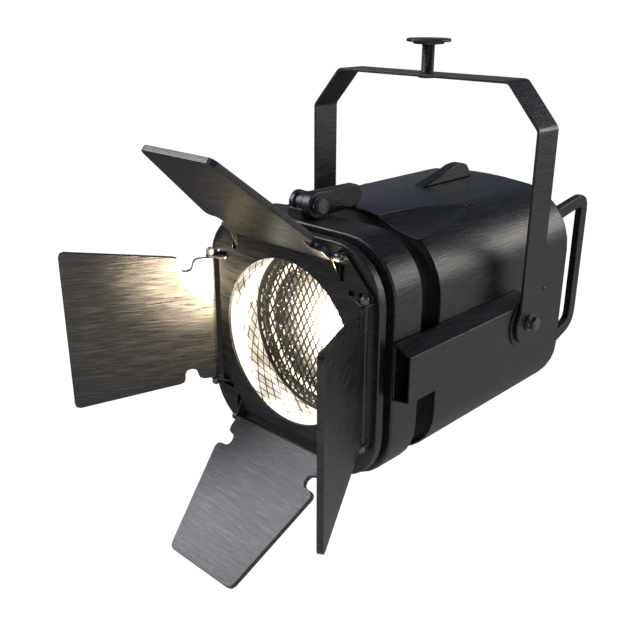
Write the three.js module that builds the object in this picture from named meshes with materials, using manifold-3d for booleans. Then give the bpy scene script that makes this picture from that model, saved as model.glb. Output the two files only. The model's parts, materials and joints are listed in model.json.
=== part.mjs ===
// Fresnel spotlight with a four-leaf barn door, hung in a yoke from a flanged stud.
// Millimetres, +Z up, the beam leaves along -Y. The part's origin is the centre of the stud flange's
// top face. Everything below is drawn in the lamp's own axes, whose origin is the middle of the tilt
// axis, and the lamp group then hangs under the flange.

import * as THREE from 'three';
import { mergeVertices } from 'three/addons/utils/BufferGeometryUtils.js';
import Module from 'manifold-3d';

const wasm = await Module();
wasm.setup();

// ---------------------------------------------------------------- driving dimensions

const GAP = 0.3;                 // clearance between pieces that rest on each other
const DROP = 266.5;              // tilt axis below the flange's top face

const YOKE = { halfWidth: 142.8, top: 233.3, gauge: 3, barWidth: 35.2, benchX: 106.1, shoulderZ: 191.9,
  lobeRadius: 22.5, bendRadius: 7 };
const STUD = { flangeRadius: 22.5, flangeThick: 3.3, collarRadius: 15.6, collarThick: 2.2,
  shaftRadius: 6.75, neckRadius: 5 };
const PIVOT = { bolt: 4, hole: 4.3, plateRadius: 28, plateOuter: 138.6, discRadius: 20 };
const BEAM_Z = -3.5;             // optical axis height over the tilt axis

const SHELL = { half: 117.2, topRadius: 67, radius: 54, front: -120, back: 126, fillet: 15, wall: 2.2,
  crown: 3 };
const SLEEVE = { half: 102, radius: 45, front: -146.6, back: -112, wall: 2.2 };
const DOOR = { half: 116, sag: 4.5, radius: 56, front: -184, back: -147, wall: 2.4, bevel: 2.4 };
const HINGE = { y: -168, z: 126, radius: 12.5 };
const TUBE = { inner: 86, outer: 88.3, front: -191.2, back: -148.2 };
const FRAME = { half: 112, sag: 4.5, radius: 53, front: -200, back: -191.5, bore: 92 };
const PLATE = { front: -203.4, back: -200.4, half: 105, clip: 74, recess: 95, recessHalf: 66, bore: 83 };
const LEAF = { axisOut: 102, axisY: -208.3, thick: 5.6, under: 4.6, length: 145, neckHalf: 65.5,
  bodyHalf: 69 };
const EAR = { inner: 66, outer: 68, low: 84, high: 106.5 };
const CHANNEL = { inner: 117.7, outer: 136.9, front: -187.5, rear: 12, wall: 2.2 };
const HANDLE = { outer: 100, thick: 8.5, width: 13.4 };
const RAIL = { x: 46, z: -92, radius: 4, front: -111.5 };
const BRACKET = { front: -111, back: -105 };
const SCREW = { z: -100, radius: 4 };
const LAMP_Y = -62;              // filament at rest
const CLAMP = { y: -166, radius: 3, knobRadius: 11 };

const REST_OPENING = { top: 40.4, right: 29.5, bottom: 41, left: 29.5 };   // degrees from straight ahead

const ROUND = 36;                // facets on large turned pieces
const SMALL = 14;                // facets on fasteners

const rad = THREE.MathUtils.degToRad;

// ---------------------------------------------------------------- materials

const steelBlack = new THREE.MeshStandardMaterial({ color: 0x17171a, roughness: 0.42, metalness: 0.75 });
const innerBlack = new THREE.MeshStandardMaterial({ color: 0x0b0b0c, roughness: 0.7, metalness: 0.3 });
const zinc = new THREE.MeshStandardMaterial({ color: 0x6b6c70, roughness: 0.35, metalness: 0.9 });
const mirror = new THREE.MeshStandardMaterial({ color: 0xe6e2da, roughness: 0.1, metalness: 1 });
const glass = new THREE.MeshStandardMaterial({ color: 0xf2f4f0, roughness: 0.05, metalness: 0 });
const ceramic = new THREE.MeshStandardMaterial({ color: 0xd8d2c4, roughness: 0.6, metalness: 0 });
const rubber = new THREE.MeshStandardMaterial({ color: 0x101010, roughness: 0.8, metalness: 0 });

// ---------------------------------------------------------------- solids

function signedVolume(positions, index) {
  const a = new THREE.Vector3();
  const b = new THREE.Vector3();
  const c = new THREE.Vector3();
  let sum = 0;
  for (let i = 0; i < index.length; i += 3) {
    a.fromArray(positions, index[i] * 3);
    b.fromArray(positions, index[i + 1] * 3);
    c.fromArray(positions, index[i + 2] * 3);
    sum += a.dot(b.cross(c));
  }
  return sum / 6;
}

// A closed geometry becomes a manifold solid, with its faces turned outwards.
function solid(geometry) {
  const bare = geometry.clone();
  bare.deleteAttribute('normal');
  bare.deleteAttribute('uv');
  const merged = mergeVertices(bare, 1e-4);
  const positions = Float32Array.from(merged.attributes.position.array);
  const index = Uint32Array.from(merged.index.array);
  if (signedVolume(positions, index) < 0) {
    for (let i = 0; i < index.length; i += 3) {
      [index[i + 1], index[i + 2]] = [index[i + 2], index[i + 1]];
    }
  }
  return new wasm.Manifold(new wasm.Mesh({ numProp: 3, vertProperties: positions, triVerts: index }));
}

function geometryOf(manifold) {
  const mesh = manifold.getMesh();
  const geometry = new THREE.BufferGeometry();
  geometry.setAttribute('position', new THREE.BufferAttribute(Float32Array.from(mesh.vertProperties), 3));
  geometry.setIndex(new THREE.BufferAttribute(Uint32Array.from(mesh.triVerts), 1));
  geometry.computeVertexNormals();
  return geometry;
}

const join = (...pieces) => pieces.reduce((whole, piece) => whole.add(piece));
const cut = (body, ...tools) => tools.reduce((rest, tool) => rest.subtract(tool), body);

// (a, b) outlines are extruded along one axis of the lamp, between two places on it.
const AXES = {
  x: new THREE.Matrix4().makeBasis(new THREE.Vector3(0, 1, 0), new THREE.Vector3(0, 0, 1),
    new THREE.Vector3(1, 0, 0)),                                   // outline in (y, z)
  y: new THREE.Matrix4().makeBasis(new THREE.Vector3(1, 0, 0), new THREE.Vector3(0, 0, 1),
    new THREE.Vector3(0, -1, 0)),                                  // outline in (x, z)
  z: new THREE.Matrix4(),                                          // outline in (x, y)
};

function prism(axis, outline, from, to) {
  const shape = outline instanceof THREE.Shape ? outline : new THREE.Shape(outline);
  const geometry = new THREE.ExtrudeGeometry(shape, { depth: to - from, bevelEnabled: false,
    curveSegments: 7 });
  geometry.translate(0, 0, axis === 'y' ? -to : from);
  geometry.applyMatrix4(AXES[axis]);
  return solid(geometry);
}

// A round piece on one axis: profile is [[radius, place on the axis], ...].
function turned(axis, profile, facets = ROUND) {
  const points = profile.map(([radius, along]) => new THREE.Vector2(radius, along));
  const geometry = new THREE.LatheGeometry(points, facets);
  if (axis === 'x') geometry.rotateZ(-Math.PI / 2);
  if (axis === 'z') geometry.rotateX(Math.PI / 2);
  return solid(geometry);
}

const rod = (axis, radius, from, to, facets = SMALL) =>
  turned(axis, [[0, from], [radius, from], [radius, to], [0, to]], facets);

const tube = (axis, inner, outer, from, to, facets = ROUND) =>
  turned(axis, [[inner, from], [outer, from], [outer, to], [inner, to], [inner, from]], facets);

const box = (x0, x1, y0, y1, z0, z1) =>
  solid(new THREE.BoxGeometry(x1 - x0, y1 - y0, z1 - z0)
    .translate((x0 + x1) / 2, (y0 + y1) / 2, (z0 + z1) / 2));

const hexagon = (across) => Array.from({ length: 6 }, (_, i) => {
  const angle = i * Math.PI / 3;
  const corner = across / Math.sqrt(3);
  return new THREE.Vector2(corner * Math.cos(angle), corner * Math.sin(angle));
});

const mirrored = (piece) => piece.mirror([1, 0, 0]);

// A square with round corners, as (x, z) points. Its top side can be crowned and its bottom side lowered.
function roundedSquare(half, radius, { topRadius = radius, crown = 0, sag = 0, arcSteps = 8,
  flatSteps = 1 } = {}) {
  const corners = [[1, 1, topRadius], [-1, 1, topRadius], [-1, -1, radius], [1, -1, radius]];
  const points = [];
  corners.forEach(([sx, sz, r], corner) => {
    for (let i = 0; i <= arcSteps; i += 1) {
      const angle = (corner + i / arcSteps) * Math.PI / 2;
      points.push(new THREE.Vector2(sx * (half - r) + r * Math.cos(angle),
        sz * (half - r) + r * Math.sin(angle) - (sz < 0 ? sag : 0)));
    }
    for (let i = 1; corner === 0 && i < flatSteps; i += 1) {
      points.push(new THREE.Vector2((half - r) * (1 - 2 * i / flatSteps), half));
    }
  });
  for (const point of points) {
    const rise = Math.max(0, 1 - (point.x / (half - topRadius)) ** 2);
    if (point.y > half - 0.01) point.y += crown * rise;
    point.y += BEAM_Z;
  }
  return points;
}

// Skins a row of matching (x, z) outlines that stand one behind another along Y.
function lofted(stations) {
  const count = stations[0].points.length;
  const positions = [];
  const index = [];
  for (const { y, points } of stations) {
    for (const point of points) positions.push(point.x, y, point.y);
  }
  for (let s = 0; s < stations.length - 1; s += 1) {
    for (let i = 0; i < count; i += 1) {
      const a = s * count + i;
      const b = s * count + (i + 1) % count;
      index.push(a, b, a + count, b, b + count, a + count);
    }
  }
  const capOf = (station, flip) => {
    const first = station * count;
    for (const [a, b, c] of THREE.ShapeUtils.triangulateShape(stations[station].points, [])) {
      index.push(first + a, first + (flip ? c : b), first + (flip ? b : c));
    }
  };
  capOf(0, true);
  capOf(stations.length - 1, false);
  const geometry = new THREE.BufferGeometry();
  geometry.setAttribute('position', new THREE.BufferAttribute(new Float32Array(positions), 3));
  geometry.setIndex(index);
  return solid(geometry);
}

// The middle line of a bent bar, with its corners rounded.
function roundedLine(corners, radii) {
  const points = [corners[0].clone()];
  for (let i = 1; i < corners.length - 1; i += 1) {
    const into = corners[i].clone().sub(corners[i - 1]).normalize();
    const out = corners[i + 1].clone().sub(corners[i]).normalize();
    const half = Math.acos(THREE.MathUtils.clamp(into.dot(out), -1, 1)) / 2;
    const back = radii[i - 1] * Math.tan(half);
    const start = corners[i].clone().addScaledVector(into, -back);
    const end = corners[i].clone().addScaledVector(out, back);
    const arc = new THREE.QuadraticBezierCurve(start, corners[i], end);
    points.push(...arc.getPoints(Math.max(3, Math.ceil(radii[i - 1] / 4))));
  }
  points.push(corners.at(-1).clone());
  return points;
}

// The outline of a bar of one width that follows a line.
function stroke(line, width) {
  const sides = [[], []];
  line.forEach((point, i) => {
    const before = line[Math.max(i - 1, 0)];
    const after = line[Math.min(i + 1, line.length - 1)];
    const into = point.clone().sub(before);
    const out = after.clone().sub(point);
    if (into.lengthSq() === 0) into.copy(out);
    if (out.lengthSq() === 0) out.copy(into);
    into.normalize();
    out.normalize();
    const along = into.clone().add(out).normalize();
    const miter = (width / 2) / along.dot(out);
    sides[0].push(new THREE.Vector2(point.x - along.y * miter, point.y + along.x * miter));
    sides[1].push(new THREE.Vector2(point.x + along.y * miter, point.y - along.x * miter));
  });
  return [...sides[0], ...sides[1].reverse()];
}

const at = (x, y) => new THREE.Vector2(x, y);

// ---------------------------------------------------------------- the scene

const part = new THREE.Group();
const lamp = new THREE.Group();
lamp.position.z = -DROP;
part.add(lamp);

function place(name, piece, material) {
  const mesh = new THREE.Mesh(geometryOf(piece), material);
  mesh.name = name;
  lamp.add(mesh);
}

// ---------------------------------------------------------------- stud and yoke

function stud() {
  const flangeLow = DROP - STUD.flangeThick;
  const collarLow = flangeLow - STUD.collarThick;
  const shoulder = YOKE.top + GAP;
  return turned('z', [
    [0, DROP], [STUD.flangeRadius - 1, DROP], [STUD.flangeRadius, DROP - 0.9],
    [STUD.flangeRadius, flangeLow + 0.9], [STUD.flangeRadius - 0.9, flangeLow],
    [STUD.collarRadius, flangeLow], [STUD.collarRadius, collarLow + 0.5],
    [STUD.collarRadius - 0.5, collarLow], [STUD.shaftRadius, collarLow],
    [STUD.shaftRadius, shoulder], [STUD.neckRadius, shoulder],
    [STUD.neckRadius, YOKE.top - YOKE.gauge - 2.4], [0, YOKE.top - YOKE.gauge - 2.4],
  ]);
}

function studRetainer() {
  const top = YOKE.top - YOKE.gauge - GAP;
  return turned('z', [
    [STUD.neckRadius + GAP, top], [8.8, top], [8.8, top - 1], [8.2, top - 1.6],
    [STUD.neckRadius + GAP, top - 1.6], [STUD.neckRadius + GAP, top],
  ]);
}

// Flat bar bent over two shoulders, its ends widened into round lobes at the tilt axis.
function yoke() {
  const { halfWidth, top, gauge, barWidth, benchX, shoulderZ, lobeRadius, bendRadius } = YOKE;
  const mid = gauge / 2;
  const drop = 0.41 * gauge;
  const corners = [
    at(mid - halfWidth, -lobeRadius - 2), at(mid - halfWidth, shoulderZ - drop / 2),
    at(drop / 2 - benchX, top - mid), at(benchX - drop / 2, top - mid),
    at(halfWidth - mid, shoulderZ - drop / 2), at(halfWidth - mid, -lobeRadius - 2),
  ];
  const bar = stroke(roundedLine(corners, [bendRadius, bendRadius, bendRadius, bendRadius]), gauge);
  const half = barWidth / 2;
  const meet = Math.asin(half / lobeRadius);
  const arc = Array.from({ length: 33 }, (_, i) => {
    const angle = Math.PI / 2 + meet + (i / 32) * (2 * Math.PI - 2 * meet);
    return at(lobeRadius * Math.cos(angle), lobeRadius * Math.sin(angle));
  });
  const side = [at(half, top + 10), at(-half, top + 10), ...arc];
  return cut(
    prism('y', bar, -lobeRadius - 1, lobeRadius + 1).intersect(prism('x', side, -150, 150)),
    rod('z', STUD.neckRadius + GAP, top - 20, top + 10),
    rod('x', PIVOT.hole, -160, 160),
  );
}

function tiltBolt() {
  const seat = YOKE.halfWidth + GAP + 1.6 + GAP;
  return join(
    rod('x', PIVOT.bolt, 124, seat + 1),
    turned('x', [[0, seat], [7.2, seat], [7.2, seat + 0.7], [6.4, seat + 1.2], [0, seat + 1.2]], SMALL),
    prism('x', hexagon(13), seat + 0.5, seat + 6),
  );
}

const tiltWasher = () => tube('x', PIVOT.hole, 8.6, YOKE.halfWidth + GAP, YOKE.halfWidth + GAP + 1.6, 24);

const frictionDisc = () =>
  tube('x', PIVOT.hole, PIVOT.discRadius, PIVOT.plateOuter + GAP, YOKE.halfWidth - YOKE.gauge - GAP);

// ---------------------------------------------------------------- rear housing

function shellBody(inset, front, back) {
  const fillet = SHELL.fillet - inset;
  const outline = (pull, crown) => roundedSquare(SHELL.half - inset - pull, SHELL.radius - inset - pull,
    { topRadius: SHELL.topRadius - inset - pull, crown, flatSteps: 5 });
  const stations = [{ y: front, points: outline(0, SHELL.crown) }];
  for (let i = 0; i <= 4; i += 1) {
    const angle = (i / 4) * Math.PI / 2;
    const pull = fillet * (1 - Math.cos(angle));
    stations.push({ y: back - fillet + fillet * Math.sin(angle), points: outline(pull, SHELL.crown) });
  }
  return lofted(stations);
}

// The hollow pressed into each top corner: wide and deep at the front, run out to nothing at the rear.
function scoop(grow) {
  const rear = -9;
  const length = SHELL.front - 3 - rear;
  const steps = 7;
  const stations = [];
  for (let i = 0; i <= steps; i += 1) {
    const t = i / steps;
    const inner = 68 - 27 * (1 - (1 - t) ** 1.8) - grow;
    const outer = 70 + 19.5 * (1 - (1 - t) ** 2.2) + grow;
    const top = BEAM_Z + SHELL.half + 0.2;
    const centre = SHELL.half - SHELL.topRadius;
    const ridge = BEAM_Z + centre + Math.sqrt(SHELL.topRadius ** 2 - (outer - grow - centre) ** 2) - 0.3;
    const points = [at(inner, top + 20)];
    for (let k = 0; k <= 6; k += 1) {
      const u = k / 6;
      points.push(at(inner + (outer - inner) * u, ridge + (top - ridge) * (1 - u) ** 2 - grow));
    }
    points.push(at(outer, top + 20));
    stations.push({ y: rear + length * t, points });
  }
  return lofted(stations);
}

function rearHousing() {
  const outer = shellBody(0, SHELL.front, SHELL.back);
  const inner = shellBody(SHELL.wall, SHELL.front - 10, SHELL.back - SHELL.wall);
  const dip = scoop(0);
  const dipInside = scoop(SHELL.wall);
  const skin = cut(outer, dip, mirrored(dip));
  const hollow = cut(inner, dipInside, mirrored(dipInside));
  const serviceOpening = prism('y', roundedSquare(68, 16, { arcSteps: 4 }), 100, 140);
  const vents = [-60, -36, -12, 12, 36, 60].map((y) => box(-58, 58, y - 3, y + 3, -135, -110));
  const screwHoles = coverScrewPlaces().map(([x, z]) => rod('y', 2.3, 110, 140).translate([x, 0, z]));
  return cut(skin, hollow, serviceOpening, ...vents, ...screwHoles,
    rod('y', SCREW.radius + GAP, 110, 140).translate([0, 0, SCREW.z]),
    rod('y', 6.3, 110, 140).translate([-52, 0, SCREW.z]));
}

function coverScrewPlaces() {
  const reach = 71;
  return [[reach, BEAM_Z + reach], [-reach, BEAM_Z + reach], [-reach, BEAM_Z - reach],
    [reach, BEAM_Z - reach]];
}

function rearCover() {
  const back = SHELL.back + GAP;
  const plate = prism('y', roundedSquare(78, 20, { arcSteps: 4 }), back, back + 2);
  const slots = Array.from({ length: 7 }, (_, i) => {
    const z = BEAM_Z + (i - 3) * 15;
    return box(-46, 46, back - 5, back + 5, z - 2.5, z + 2.5);
  });
  const holes = coverScrewPlaces().map(([x, z]) => rod('y', 2.3, back - 5, back + 5).translate([x, 0, z]));
  return cut(plate, ...slots, ...holes);
}

function coverScrew([x, z]) {
  const seat = SHELL.back + GAP + 2 + GAP;
  return turned('y', [[0, seat + 2.4], [2.2, seat + 2.2], [3.9, seat + 1], [4, seat], [2, seat],
    [2, SHELL.back - 10], [0, SHELL.back - 10]], SMALL).translate([x, 0, z]);
}

// Wedge rib on the roof: a long rise from the front and a steep, rounded back.
function topFin() {
  const base = BEAM_Z + SHELL.half + SHELL.crown + GAP;
  const shape = new THREE.Shape();
  shape.moveTo(-4, base);
  shape.lineTo(86, base);
  shape.lineTo(82, base + 5);
  shape.lineTo(75, base + 13.5);
  shape.quadraticCurveTo(71, base + 16.8, 61, base + 16.8);
  shape.quadraticCurveTo(51, base + 16.8, 43, base + 13.6);
  shape.lineTo(-4, base + 0.8);
  return prism('x', shape, -6.2, 6.2);
}

function frontSleeve() {
  const { half, radius, front, back, wall } = SLEEVE;
  const inset = SHELL.wall + GAP;
  const flange = roundedSquare(SHELL.half - inset, SHELL.radius - inset,
    { topRadius: SHELL.topRadius - inset });
  const dip = scoop(inset);
  return cut(
    join(prism('y', roundedSquare(half, radius), front, back), prism('y', flange, back - 2, back)),
    prism('y', roundedSquare(half - wall, radius - wall), front - 5, back + 5),
    dip, mirrored(dip));
}

// Hollow side rail from the pivot to past the lens door, open at its front end.
function sideChannel(...bores) {
  const { inner, outer, front, rear, wall } = CHANNEL;
  const outline = (inset, drop) => [
    at(inner + inset, 25.8 - inset), at(inner + inset, -28.5 + drop + inset),
    at(outer - inset, -25.7 + drop + inset), at(outer - inset, 18.5 - inset * 0.8),
    at(120.7, 25.8 - inset),
  ];
  const taper = 8.4;
  const rail = lofted([{ y: front, points: outline(0, 0) }, { y: -150, points: outline(0, 0) },
    { y: rear, points: outline(0, taper) }]);
  const hollow = lofted([{ y: front - 5, points: outline(wall, 0) }, { y: -150, points: outline(wall, 0) },
    { y: -38, points: outline(wall, taper * 0.85) }]);
  return cut(rail, hollow, rod('x', PIVOT.hole, 123.5, 150), ...bores);
}

const pivotPlate = () => tube('x', PIVOT.hole, PIVOT.plateRadius, CHANNEL.outer + GAP, PIVOT.plateOuter);

// Fixed half of the top hinge: a pill-shaped arm standing on the roof and reaching over the lens door.
function hingeArm() {
  const roof = BEAM_Z + SHELL.half + SHELL.crown + GAP;
  const pill = new THREE.Shape();
  const rear = { y: -117, z: 127, radius: 11 };
  pill.absarc(HINGE.y, HINGE.z, HINGE.radius, Math.PI / 2, 1.5 * Math.PI);
  pill.absarc(rear.y, rear.z, rear.radius, -Math.PI / 2, Math.PI / 2);
  return cut(prism('x', pill, -2, 8),
    box(-20, 20, SHELL.front - GAP, 0, 0, roof),
    rod('x', PIVOT.hole, -20, 20).translate([0, HINGE.y, HINGE.z]));
}

// Carrying handle behind the right-hand side: one flat bar bent into a loop.
function rearHandle() {
  const line = roundedLine([at(108, 80), at(181.3, 90.6), at(181.3, -60.5), at(112, -83.8)], [13, 20]);
  const bar = prism('x', stroke(line, HANDLE.width), HANDLE.outer - HANDLE.thick, HANDLE.outer);
  return cut(bar, shellBody(-GAP, SHELL.front, SHELL.back + GAP));
}

function cableGland() {
  const back = SHELL.back + GAP;
  return cut(
    join(prism('y', hexagon(19), back, back + 6),
      turned('y', [[0, back + 5], [8.6, back + 5], [8.6, back + 10], [7, back + 15], [0, back + 15]], SMALL),
      rod('y', 6, back - 12, back + 2)),
    rod('y', 3.5, back - 20, back + 30)).translate([-52, 0, SCREW.z]);
}

// ---------------------------------------------------------------- focusing carriage

const rail = (side) => rod('y', RAIL.radius, RAIL.front, SHELL.back - SHELL.wall - GAP)
  .translate([side * RAIL.x, 0, RAIL.z]);

function railBracket() {
  const low = BEAM_Z - SHELL.half + SHELL.wall + GAP;
  const hole = (x, z, radius) => rod('y', radius, -120, -80).translate([x, 0, z]);
  return cut(box(-58, 58, BRACKET.front, BRACKET.back, low, RAIL.z + 9),
    hole(RAIL.x, RAIL.z, RAIL.radius + GAP), hole(-RAIL.x, RAIL.z, RAIL.radius + GAP),
    hole(0, SCREW.z, SCREW.radius + GAP));
}

function carriage() {
  const y0 = LAMP_Y - 22;
  const y1 = LAMP_Y + 34;
  const runner = (side) => box(side * RAIL.x - 9, side * RAIL.x + 9, y0, y1, RAIL.z - 8, RAIL.z + 8);
  return cut(
    join(box(-55, 55, y0, y1, RAIL.z + 6, RAIL.z + 9), runner(1), runner(-1)),
    ...[-1, 1].map((side) => rod('y', RAIL.radius + GAP, y0 - 5, y1 + 5)
      .translate([side * RAIL.x, 0, RAIL.z])));
}

function driveNut() {
  const top = RAIL.z + 6 - GAP;
  return cut(box(-11, 11, LAMP_Y - 8, LAMP_Y + 14, SCREW.z - 9, top),
    rod('y', SCREW.radius + GAP, LAMP_Y - 20, LAMP_Y + 30).translate([0, 0, SCREW.z]));
}

function lampholder() {
  const seat = RAIL.z + 9 + GAP;
  const body = join(rod('z', 20, seat, seat + 20, 32), rod('z', 15, seat + 15, seat + 34, 32));
  return cut(body, rod('z', 7.5, seat + 12, seat + 50)).translate([0, LAMP_Y, 0]);
}

function lampBulb() {
  const seat = RAIL.z + 9 + GAP + 12 + GAP;
  const profile = [[0, seat], [7, seat], [7, seat + 26], [9.5, seat + 34], [10.5, seat + 46]];
  for (let i = 1; i <= 6; i += 1) {
    const angle = (i / 6) * Math.PI / 2;
    profile.push([10.5 * Math.cos(angle), BEAM_Z + 24 + 10.5 * Math.sin(angle)]);
  }
  profile.at(-1)[0] = 0;
  return turned('z', profile, SMALL).translate([0, LAMP_Y, 0]);
}

// Spherical mirror behind the lamp, on a post that stands on the carriage.
function reflector() {
  const bowl = [];
  const sphere = 62;
  const thick = 1.5;
  const halfOpening = rad(44);
  const steps = 5;
  for (let i = 0; i <= steps; i += 1) {
    const angle = halfOpening * (1 - i / steps);
    bowl.push([sphere * Math.sin(angle), sphere * Math.cos(angle)]);
  }
  bowl.at(-1)[0] = 0;
  for (let i = 0; i <= steps; i += 1) {
    const angle = halfOpening * (i / steps);
    bowl.push([(sphere + thick) * Math.sin(angle), (sphere + thick) * Math.cos(angle)]);
  }
  bowl[steps + 1][0] = 0;
  bowl.push(bowl[0].slice());
  const middle = LAMP_Y - 36;
  const post = box(-6, 6, LAMP_Y + 26, LAMP_Y + 29, RAIL.z + 9 + GAP, BEAM_Z - 4);
  const dish = turned('y', bowl, 28).translate([0, middle, BEAM_Z]);
  const ball = solid(new THREE.SphereGeometry(sphere + 0.5, 24, 16).translate(0, middle, BEAM_Z));
  return join(dish, cut(post, ball));
}

const focusScrew = () => rod('y', SCREW.radius, RAIL.front, SHELL.back + 14).translate([0, 0, SCREW.z]);

function focusKnob() {
  const y0 = SHELL.back + 3;
  const lobes = 12;
  const grip = Array.from({ length: lobes * 4 }, (_, i) => {
    const angle = (i / (lobes * 4)) * 2 * Math.PI;
    const radius = 13.2 + 0.9 * Math.cos(lobes * angle);
    return at(radius * Math.cos(angle), radius * Math.sin(angle));
  });
  return cut(join(prism('y', grip, y0 + 2, y0 + 18), rod('y', 9, y0, y0 + 4)),
    rod('y', SCREW.radius + GAP, y0 - 5, SHELL.back + 14 + GAP)).translate([0, 0, SCREW.z]);
}

// ---------------------------------------------------------------- lens door

function lensDoor() {
  const { half, sag, radius, front, back, wall, bevel } = DOOR;
  const square = (inset) => roundedSquare(half - inset, radius - inset, { sag });
  const bevels = [0, 1, 2, 3].map((i) => {
    const angle = (i / 3) * Math.PI / 2;
    return { y: front + bevel * (1 - Math.sin(angle)), points: square(bevel * (1 - Math.cos(angle))) };
  });
  const outer = lofted([{ y: back, points: square(0) }, ...bevels]);
  return cut(outer,
    prism('y', square(wall), front + wall, back + 10),
    rod('y', TUBE.outer + GAP, front - 5, back, ROUND).translate([0, 0, BEAM_Z]));
}

const lensTube = () => tube('y', TUBE.inner, TUBE.outer, TUBE.front, TUBE.back).translate([0, 0, BEAM_Z]);

// Planoconvex disc, its steps left for the fine model; flat side to the lamp.
function lens() {
  const back = -151.5;
  const radius = TUBE.inner - GAP;
  const profile = [[0, back], [radius, back], [radius, back - 4]];
  for (let i = 1; i <= 4; i += 1) {
    const t = i / 4;
    profile.push([radius * (1 - t), back - 4 - 3 * (1 - (1 - t) ** 2)]);
  }
  return turned('y', profile).translate([0, 0, BEAM_Z]);
}

const lensRing = () => tube('y', 80, TUBE.inner - GAP, -151.2, -149.4).translate([0, 0, BEAM_Z]);

// Wire guard in front of the lens, drawn here as a ring with a coarse diagonal lattice.
function meshGuard() {
  const back = -161;
  const front = back - 1.6;
  const ring = tube('y', 81.5, TUBE.inner - GAP, front, back);
  const disc = rod('y', 83, front, back, ROUND);
  const bars = [];
  const pitch = 32;
  for (const lean of [36, -36]) {
    for (let i = -2; i <= 2; i += 1) {
      bars.push(box(-100, 100, front, back, -0.9, 0.9).translate([0, 0, i * pitch]).rotate([0, lean, 0]));
    }
  }
  return join(ring, join(...bars).intersect(disc)).translate([0, 0, BEAM_Z]);
}

const doorNeck = () => tube('y', 94, 99, FRAME.back + GAP, DOOR.front - GAP).translate([0, 0, BEAM_Z]);

function accessoryFrame() {
  const holes = [];
  for (const [sx, sz] of [[1, 1], [-1, 1], [-1, -1], [1, -1]]) {
    for (const [a, b] of [[70, 90], [90, 70]]) {
      holes.push(rod('y', 2.2, FRAME.front - 5, FRAME.back + 5, 10).translate([sx * a, 0, BEAM_Z + sz * b]));
    }
  }
  const edge = (inset, y) => ({ y,
    points: roundedSquare(FRAME.half - inset, FRAME.radius - inset, { sag: FRAME.sag }) });
  return cut(lofted([edge(0, FRAME.back), edge(0, FRAME.front + 1), edge(1, FRAME.front)]),
    rod('y', FRAME.bore, FRAME.front - 5, FRAME.back + 5, ROUND).translate([0, 0, BEAM_Z]), ...holes);
}

// Moving half of the top hinge: two lugs turned on the hinge axis, on a foot on the door's roof.
function doorKnuckle() {
  const radius = HINGE.radius - 1.5;
  const groove = radius - 2;
  const barrel = turned('x', [
    [0, -20], [radius - 1, -20], [radius, -19], [radius, -14], [radius - 1, -13], [groove, -13],
    [groove, -9.5], [radius - 1, -9.5], [radius, -8.5], [radius, -3.2], [radius - 1, -2 - GAP],
    [0, -2 - GAP],
  ]).translate([0, HINGE.y, HINGE.z]);
  const roof = BEAM_Z + DOOR.half + GAP;
  return cut(join(barrel, box(-20, -2 - GAP, HINGE.y - 11, HINGE.y + 11, roof, HINGE.z - 4)),
    rod('x', PIVOT.hole, -16, 20).translate([0, HINGE.y, HINGE.z]));
}

function hingeBolt() {
  const seat = 8 + GAP;
  return join(
    rod('x', PIVOT.bolt, -15, seat + 1),
    turned('x', [[0, seat], [8, seat], [8, seat + 0.9], [7.2, seat + 1.6], [0, seat + 1.6]], SMALL),
    prism('x', hexagon(13), seat + 1, seat + 7.5),
  ).translate([0, HINGE.y, HINGE.z]);
}

// Knurled screw in the left side channel. Its tip clamps the closed door.
function doorClamp() {
  const seat = CHANNEL.outer + GAP;
  const ribs = 14;
  const grip = Array.from({ length: ribs * 2 }, (_, i) => {
    const angle = (i / (ribs * 2)) * 2 * Math.PI;
    const radius = CLAMP.knobRadius - (i % 2);
    return at(radius * Math.cos(angle), radius * Math.sin(angle));
  });
  const screw = join(rod('x', CLAMP.radius, DOOR.half + GAP, seat + 2), rod('x', 7, seat, seat + 4),
    prism('x', grip, seat + 3, seat + 11));
  return mirrored(screw.translate([0, CLAMP.y, 0]));
}

// ---------------------------------------------------------------- barn door

const SIDES = { top: 0, right: 90, bottom: 180, left: 270 };      // degrees about the beam

// Places a piece that is drawn at the top, with the beam axis at height zero.
const toSide = (piece, side) => piece.rotate([0, SIDES[side], 0]).translate([0, 0, BEAM_Z]);

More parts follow.
